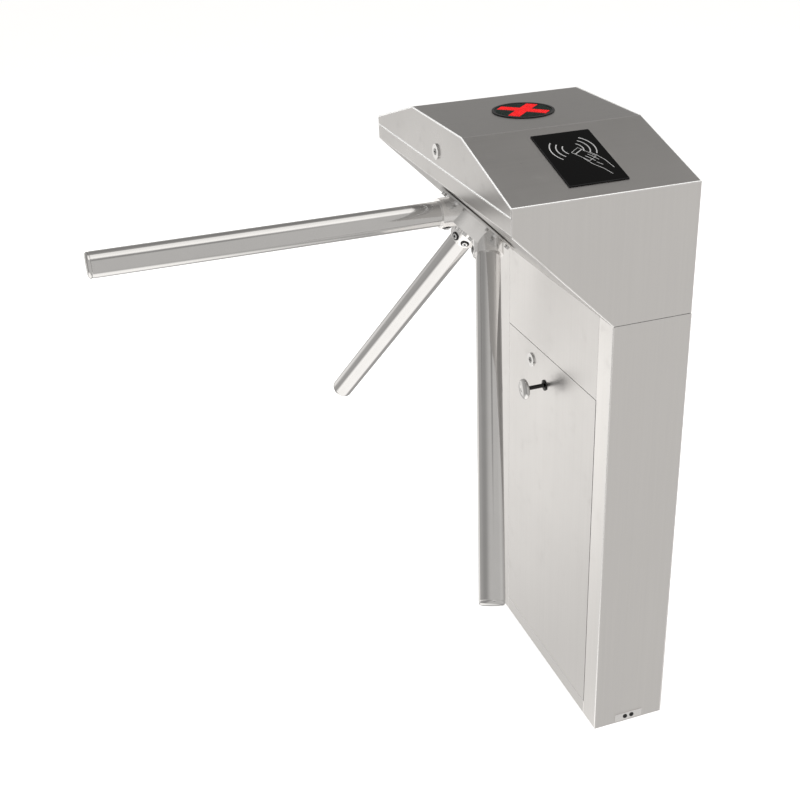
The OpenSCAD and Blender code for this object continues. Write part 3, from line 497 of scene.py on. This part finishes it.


# ---------- sheet metal ----------

# The bevels of these sheets take the brighter edge finish, a painted highlight.
for node in ("front_panel", "rear_panel", "right_side_panel", "rear_stile",
             "upper_side_panel", "bottom_rail", "head_front_panel", "head_rear_panel",
             "head_right_panel", "incline_plate", "head_bottom_panel", "door_panel"):
    sheet_metal(node, 0.6 * MM, edge=EDGE)
# The front stile takes the brighter copy of the satin steel, painted light.
sheet_metal("front_stile", 0.6 * MM, edge=EDGE, finish=STILE_PAINTED_LIGHT)
sheet_metal("head_left_strip", 0.6 * MM, edge=EDGE, finish=FINISH["lid_steel"])
sheet_metal("base_plate", 1.2 * MM)
# The outlet plate takes the brighter copy of the polished steel, painted light.
sheet_metal("cable_outlet_plate", 0.5 * MM, finish=POLISHED_PAINTED_LIGHT)
# The locks' rounded edges take the near-white seam finish, a painted highlight.
for node in ("lid_lock_body", "door_lock_body"):
    sheet_metal(node, 0.5 * MM, edge=SEAM_HIGHLIGHT)
# The lock plugs take the dark copy of the polished steel, painted shade.
for node in ("lid_lock_plug", "door_lock_plug"):
    sheet_metal(node, 0.3 * MM, finish=PLUG_PAINTED_SHADE)
for node in ("lid_hinge_bases", "lid_hinge_leaves", "hub_screws"):
    sheet_metal(node, 0.3 * MM)

# The lid's bevels and folds take the brighter edge finish, a painted highlight.
sheet_metal("lid_gables", 0.7 * MM, edge=EDGE)
sheet_metal("lid_skin", 0.7 * MM, edge=EDGE, limit=12)  # The folds are shallow.

# ---------- tripod ----------

wall, lip = 1.5, 0.5
bore_r = arm_r - wall
tube_outline = [
    (bore_r, arm_from), (arm_r - lip, arm_from), (arm_r, arm_from + lip), (arm_r, arm_to - 16),
    (arm_r, arm_to - lip), (arm_r - lip, arm_to), (bore_r, arm_to), (bore_r, arm_from),
]
for k in range(3):
    tube = settle(turned(f"arm_tube_{k + 1}", tube_outline, FINISH["polished_steel"]), ARM[k])
    fit(smooth(tube), "tripod", "polished_steel", f"arm_{k + 1}")

ROUND = [(math.sin(math.radians(a)), math.cos(math.radians(a))) for a in (90, 72, 54, 36, 18, 0)]
edge_r, plug_deep = 4, 12
cap_outline = [
    (0, arm_to - plug_deep), (bore_r - 0.4, arm_to - plug_deep), (bore_r - 0.2, arm_to),
    (arm_r - 0.5, arm_to),
]
cap_outline += [(arm_r - edge_r * (1 - s), arm_end - edge_r * (1 - c)) for s, c in ROUND]
cap_outline += [(arm_r - 6, arm_end), (arm_r - 6.6, arm_end - 0.5), (arm_r - 7.2, arm_end),
                (0, arm_end)]
caps = copies(turned("arm_caps", cap_outline, FINISH["polished_steel"]), ARM)
fit(smooth(caps), "tripod", "polished_steel", "arm_end_caps")

slot_half, slot_out, slot_from, slot_to = 1.2, 26, 63, 90
drum = take("hub_drum", "hub_drum_casting")
slots = block("socket_slots", (-slot_out, -slot_half, slot_from),
              (-arm_r - 0.2, slot_half, slot_to), BLACK_AND_SHADE)
cut(drum, copies(slots, ARM))
# The drum takes the brighter copy of the polished steel, painted light.
drum.data.materials[0] = POLISHED_PAINTED_LIGHT
fit(soften(drum, 0.9 * MM, 3, 40), "tripod", "polished_steel", "hub_drum")
sheet_metal("hub_flange", 0.7 * MM)

screw_out, screw_along, screw_turn = 23.4, 71, 24
spots = [arm @ turn("Z", a) @ shift(x=-screw_out, z=screw_along) @ turn("Y", -90)
         for arm in ARM for a in (-screw_turn, screw_turn)]
screw_outline = [(0, 0.2), (2.1, 0.2), (2.1, 2.4), (3.9, 2.4), (4.4, 1.9), (4.5, 0),
                 (4.5, -1.5), (0, -1.5), (0, 0.2)]
screws = copies(turned("clamp_screws", screw_outline, FINISH["bright_fastener"], 32), spots)
fit(smooth(screws), "tripod", "bright_fastener")
# Near-black discs in the screws' sockets: painted shade.
socket_shade_outline = [(0, 0.9), (2.05, 0.9), (2.05, -0.5), (0, -0.5), (0, 0.9)]
socket_shades = copies(turned("clamp_socket_shades", socket_shade_outline, BLACK_AND_SHADE, 6), spots)
fit(smooth(socket_shades), "tripod", "black_plastic")
# Near-black rings round the screws' feet: a painted shadow round each screw.
shadow_ring_outline = [(4.3, 0.4), (6.8, 0.4), (7.0, -0.9), (4.3, -0.9), (4.3, 0.4)]
shadow_rings = copies(turned("clamp_shadow_rings", shadow_ring_outline, BLACK_AND_SHADE, 32), spots)
fit(smooth(shadow_rings), "tripod", "black_plastic")

# ---------- knob ----------

knob_low, knob_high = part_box("door_knob")
knob_mid = middle_of((knob_low, knob_high))
door_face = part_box("door_panel")[0].x
knob_r = (knob_high.y - knob_low.y) / 2 / MM
reach = (door_face - knob_low.x) / MM
stem_r, stem_end = 3.4, reach - 8
stem_outline = [
    (0, -5.5), (5, -5.5), (5, -2), (2.5, -2), (2.5, 0), (9, 0), (9.2, 0.6), (9, 1.4),
    (7, 2.0), (4.4, 3.2), (stem_r, 5.4), (stem_r, reach - 13), (4.4, reach - 11),
    (8, reach - 9.2), (knob_r - 1.5, stem_end), (0, stem_end),
]
head_outline = [
    (0, stem_end), (knob_r - 1.6, stem_end), (knob_r - 0.4, reach - 7.4), (knob_r, reach - 6.4),
    (knob_r, reach - 4.6), (knob_r - 0.8, reach - 3), (knob_r - 3, reach - 1.6),
    (knob_r / 2, reach - 0.4), (4.2, reach - 0.1), (3.8, reach - 0.7), (0, reach - 0.7),
]
knob_place = Matrix.Translation((door_face, knob_mid.y, knob_mid.z)) @ turn("Y", -90)
# The stem takes the near-black copy of the polished steel, painted shade.
stem = settle(turned("knob_stem", stem_outline, STEM_PAINTED_SHADE), knob_place)
fit(smooth(stem), "door", "polished_steel")
head = settle(turned("pull_knob", head_outline, FINISH["polished_steel"]), knob_place)
fit(smooth(head), "door", "polished_steel", "door_knob")

# ---------- direction indicator ----------

sheet_metal("indicator_bezel", 0.5 * MM)
lens_mid = middle_of((lens_low, lens_high))
lens_r = (lens_high.x - lens_low.x) / 2 / MM
lens_h = (lens_high.z - lens_low.z) / MM
dome_foot, dome_rise = lens_h - 0.9, 0.7
glass_outline = [(0, 0), (lens_r - 0.3, 0), (lens_r, 0.3), (lens_r, lens_h - 1.0)]
glass_outline += [(lens_r * s, dome_foot + dome_rise * c) for s, c in ROUND[1:]]
glass = turned("indicator_glass", glass_outline, FINISH["black_lens"], 96)
LENS = Matrix.Translation((lens_mid.x, lens_mid.y, lens_low.z))
fit(smooth(settle(glass, LENS), 50), "lid", "black_lens", "indicator_lens")

lamp_pitch, lamp_r, lamp_rim, lamps_out = 3.7, 1.72, 2.6, 11
cross_half, cross_width = 38.5, 8
lamp_outline = [(lamp_r, -0.8), (lamp_r, 0.0), (lamp_r * 0.8, 0.45), (lamp_r * 0.45, 0.7), (0, 0.8)]
lit, dark = [], []
for i in range(-lamps_out, lamps_out + 1):
    for j in range(-lamps_out, lamps_out + 1):
        u, v = i * lamp_pitch, j * lamp_pitch
        if math.hypot(u, v) > lens_r - lamp_rim:
            continue
        dome_z = dome_foot + dome_rise * math.sqrt(1 - (u * u + v * v) / lens_r ** 2)
        crossing = min(abs(u), abs(v)) < cross_width and max(abs(u), abs(v)) < cross_half
        spot = LENS @ turn("Z", 45) @ shift(u, v, dome_z)
        (lit if crossing else dark).append(spot)
fit(smooth(copies(turned("lamps_lit", lamp_outline, LIT, 10), lit), 60), "lid", "black_lens")
fit(smooth(copies(turned("lamps_dark", lamp_outline, UNLIT, 8), dark), 60), "lid", "black_lens")

# ---------- reader window ----------

sheet_metal("reader_window", 0.8 * MM, 3, FINISH["black_plastic"])
slope = math.degrees(math.atan2(SLOPE_RISE, SLOPE_RUN))
window = [v.co for v in frame["nodes"]["reader_window"].data.vertices]
out = turn("X", slope) @ Vector((0, 0, 1))
face_level = max(co.dot(out) for co in window)
face = [co for co in window if co.dot(out) > face_level - 1e-5]
WINDOW = Matrix.Translation(middle_of(face)) @ turn("X", slope)
INK_H = 0.15


def stroke(name, points, width):
    """A printed line through points in millimetres on the window."""
    line = wire(name, [(x * MM, y * MM, 0) for x, y in points], width / 2 * MM, rounding=2)
    line.data.transform(Matrix.Diagonal((1, 1, INK_H / width * 2, 1)))
    return line


def arc(x, y, radius, start, end):
    count = max(int(abs(end - start) / 6), 4)
    angles = [math.radians(start + (end - start) * i / count) for i in range(count + 1)]
    return [(x + radius * math.cos(a), y + radius * math.sin(a)) for a in angles]


thick, middling, thin = 1.7, 1.6, 1.0
wave_y = 20
strokes = []
for radius in (15, 24, 33):
    strokes.append(stroke("wave", arc(0, wave_y, radius, 140, 222), thick))
    strokes.append(stroke("wave", arc(0, wave_y, radius, -32, 52), thick))
strokes.append(stroke("card", [(-6, 12), (8, 22), (24, -4), (10, -13), (-6, 12)], thin))
strokes.append(stroke("card", [(-2.5, 7.0), (11.5, 16.5)], middling))
for points in (
        [(4, -4), (10, -20), (21, -36), (27, -50)],
        [(19, 8), (26, -2), (32, -16), (36, -36)],
        [(9, 0), (14, -7), (18, -15)],
        [(14, 3), (20, -5), (24, -13)],
        [(18, -18), (24, -26)]):
    strokes.append(stroke("finger", points, thin))
symbol = joined("reader_symbol", strokes)
symbol.data.materials.append(INK)
fit(smooth(settle(symbol, WINDOW), 50), "lid", "black_panel")

# ---------- weld beads and seams ----------

# The lid's beads take the near-white seam finish and the cabinet's beads the brighter edge finish: both are
# painted highlights along these lines.
bead_in, bead_r = 0.4 * MM, 1.0 * MM
eave = lid_high.z - SLOPE_RISE
ridge = [(lid_low.y, eave), (lid_low.y + SLOPE_RUN, lid_high.z),
         (lid_high.y - SLOPE_RUN, lid_high.z), (lid_high.y, eave)]
left, right = lid_low.x + bead_in, lid_high.x - bead_in
for name, x in (("lid_bead_left", left), ("lid_bead_right", right)):
    line = [(x, y, z - bead_in) for y, z in ridge]
    fit(bead(name, line, 1.2 * bead_r, SEAM_HIGHLIGHT), "lid", "polished_steel")
for name, (y, z), inward in (("lid_bead_front", ridge[0], 1), ("lid_bead_rear", ridge[-1], -1)):
    line = [(x, y + inward * bead_in, z - bead_in) for x in (left, right)]
    fit(bead(name, line, bead_r, SEAM_HIGHLIGHT), "lid", "polished_steel")
gable_low, gable_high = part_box("lid_gables")
hem_x, hem_z = gable_low.x + bead_in, gable_low.z + bead_in * 2
hem = [(hem_x, y, hem_z) for y in (gable_low.y + bead_in, gable_high.y - bead_in)]
fit(bead("lid_hem_bead", hem, 1.3 * bead_r, SEAM_HIGHLIGHT), "lid", "polished_steel")

front_low, front_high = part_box("front_panel")
face_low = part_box("head_front_panel")[0]
corner_x, corner_y = front_low.x + bead_in, front_low.y + bead_in
face_x, face_y = face_low.x + bead_in, face_low.y + bead_in
for name, x in (("front_left_corner_bead", corner_x),
                ("front_right_corner_bead", front_high.x - bead_in)):
    line = [(x, corner_y, z) for z in (front_low.z + MM, front_high.z - MM)]
    fit(bead(name, line, bead_r, EDGE), "cabinet", "polished_steel")
incline = [(face_x, face_y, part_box("head_left_strip")[0].z),
           (corner_x, face_y, face_low.z + bead_in)]
fit(bead("incline_bead", incline, bead_r, EDGE), "cabinet", "polished_steel")

rim = 2 * MM
outlet_low, outlet_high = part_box("cable_outlet_plate")
outlet_mid = middle_of((outlet_low, outlet_high)).x
outlet = [v.co for v in frame["nodes"]["cable_outlet_plate"].data.vertices]
hole_xs = [co.x for co in outlet if outlet_mid < co.x < outlet_high.x - rim]
hole_zs = [co.z for co in outlet if outlet_low.z + rim < co.z < outlet_high.z - rim]
hole_x, hole_z = sum(hole_xs) / len(hole_xs), (min(hole_zs) + max(hole_zs)) / 2
# Black rubber grommets whose closed, near-black centres are painted shade in the cable holes.
grommet_outline = [(0, -1.0), (4.0, -1.0), (4.0, 0.5), (3.5, 0.9), (2.6, 0.9), (2.2, 0.5),
                   (2.2, 0.0), (0, 0.0)]
seats = [Matrix.Translation((x, outlet_low.y, hole_z)) @ turn("X", 90)
         for x in (hole_x, 2 * outlet_mid - hole_x)]
grommets_and_hole_shade = copies(turned("outlet_grommets_and_hole_shade", grommet_outline, BLACK_AND_SHADE, 32), seats)
fit(smooth(grommets_and_hole_shade), "cabinet", "black_plastic")

# ---------- return springs ----------

def heart(piece):
    return middle_of([v.co for v in piece.data.vertices])


edit(take("return_springs", "return_spring"))
bpy.ops.mesh.separate(type="LOOSE")
leave()
springs = list(bpy.context.selected_objects)
for plunger in ("plunger_1", "plunger_2"):
    slide = next(j for j in frame["joints"] if j["child"] == BODY[plunger])
    axis = Vector(slide["axis"]).normalized()
    core = middle_of(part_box(plunger))
    spring = min(springs, key=lambda piece: (heart(piece) - core).length)
    spring.name = spring.data.name = plunger.replace("plunger", "return_spring")
    centre = heart(spring)
    along = [(v.co - centre).dot(axis) for v in spring.data.vertices]
    smooth(spring, 60)
    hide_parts("return_springs")
    centre + axis * max(along)
    centre + axis * min(along)
    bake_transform(spring)

# ---------- mechanism and electronics ----------

for node in ("frame_brackets", "mech_plate", "mech_fasteners", "bearing_housing", "pawl_posts",
             "solenoids", "bridge_plate", "bridge_standoffs", "damper_body", "encoder_body",
             "control_board", "power_supply", "main_shaft", "locking_disc", "pawl_1", "pawl_2",
             "plunger_1", "plunger_2", "door_pivots"):
    sheet_metal(node, 0.35 * MM)
for node in ("main_gear", "damper_pinion", "encoder_pinion"):
    sheet_metal(node, 0.25 * MM, steps=1)

# Every node gets its slot's finish, though only the races of the bearings still show.

for node, piece in frame["nodes"].items():
    piece.data.materials.clear()
    piece.data.materials.append(FINISH[SLOT[node]])

# ---------- floor, light and camera ----------

bpy.ops.object.select_all(action="DESELECT")
bpy.ops.mesh.primitive_plane_add(size=60)
floor = bpy.context.object
floor.name = "floor"
pale = Finish("pale_floor", Roughness=0.9, Emission_Strength=0.45)
speck = pale.noise(pale.place, 3.0, 3.0)
pale.set("Base Color", pale.tint(speck, grey(0.86), grey(0.89)))
pale.set("Emission Color", grey(1.0))
floor.data.materials.append(pale.material)
floor.visible_glossy = False

world = bpy.data.worlds.new("studio")
bpy.context.scene.world = world
world.use_nodes = True
sky = Tree(world.node_tree)
toward = sky.node("ShaderNodeTexCoord", output="Generated")


def lobe(direction, low, high, strength):
    """Soft light from one direction: full above the high cosine, none below the low one."""
    direction = Vector(direction).normalized()
    inputs = {0: toward, 1: direction}
    near = sky.node("ShaderNodeVectorMath", {"operation": "DOT_PRODUCT"}, inputs, 1)
    return near.clip(low, high) * strength


ambient = 0.40
light = (lobe((-0.36, 0.85, -0.38), 0.93, 0.995, 0.66)     # behind, low
         + lobe((-0.40, 0.88, -0.20), 0.40, 0.95, 0.12)    # behind, wide
         + lobe((0.22, -0.97, 0.10), -0.10, 0.60, 0.28)    # in front, wide
         + lobe((0.21, -0.02, 0.98), 0.90, 0.955, 0.85)    # overhead
         + lobe((-0.36, 0.08, -0.93), 0.76, 0.90, 1.05)    # from the floor
         + lobe((0.90, 0.35, -0.25), 0.30, 0.95, 0.10)     # right, wide
         - lobe((0.10, -0.56, 0.82), 0.985, 0.999, 0.30)   # dark spot, high in front
         - lobe((0.28, 0.84, 0.46), 0.86, 0.97, 0.12)      # dark spot, high behind
         + ambient)
seen = sky.node("ShaderNodeLightPath", output="Is Camera Ray")
background = world.node_tree.nodes["Background"]
sky.feed(background.inputs["Color"], sky.tint(seen, (1, 0.982, 0.958, 1), grey(1.0)))
sky.feed(background.inputs["Strength"], light * (1 - seen) + seen)


def softbox(name, place, aim, size, watts):
    lamp_data = bpy.data.lights.new(name, "AREA")
    lamp_data.size, lamp_data.energy = size, watts
    box = bpy.data.objects.new(name, lamp_data)
    box.location = place
    box.rotation_mode = "QUATERNION"
    box.rotation_quaternion = (Vector(aim) - Vector(place)).to_track_quat("-Z", "Y")
    box.visible_glossy = False
    bpy.context.scene.collection.objects.link(box)


softbox("key_softbox", (-1.6, -1.8, 2.8), (-0.1, 0.1, 0.6), 1.6, 55)
softbox("fill_softbox", (2.2, -0.6, 2.2), (0, 0.1, 0.5), 1.6, 22)
softbox("top_softbox", (-0.3, 1.6, 3.0), (-0.1, 0.1, 0.6), 1.8, 25)

bpy.context.scene.view_settings.view_transform = "Standard"
camera_data = bpy.data.cameras.new("camera")
camera = bpy.data.objects.new("camera", camera_data)
bpy.context.scene.collection.objects.link(camera)
camera.location = (-0.8153, -1.5424, 1.4114)
camera.rotation_mode = "QUATERNION"
ahead = Vector((0.281, 0.844, -0.456)).normalized()
across = Vector((0.942, -0.333, -0.035))
across = (across - ahead * across.dot(ahead)).normalized()
facing = Matrix((across, across.cross(ahead), -ahead)).transposed()
camera.rotation_quaternion = facing.to_quaternion()
camera_data.lens, camera_data.sensor_width = 53.36, 36
camera_data.shift_x, camera_data.shift_y = -0.010, -0.002
camera_data.clip_start, camera_data.clip_end = 0.05, 100
bpy.context.scene.camera = camera
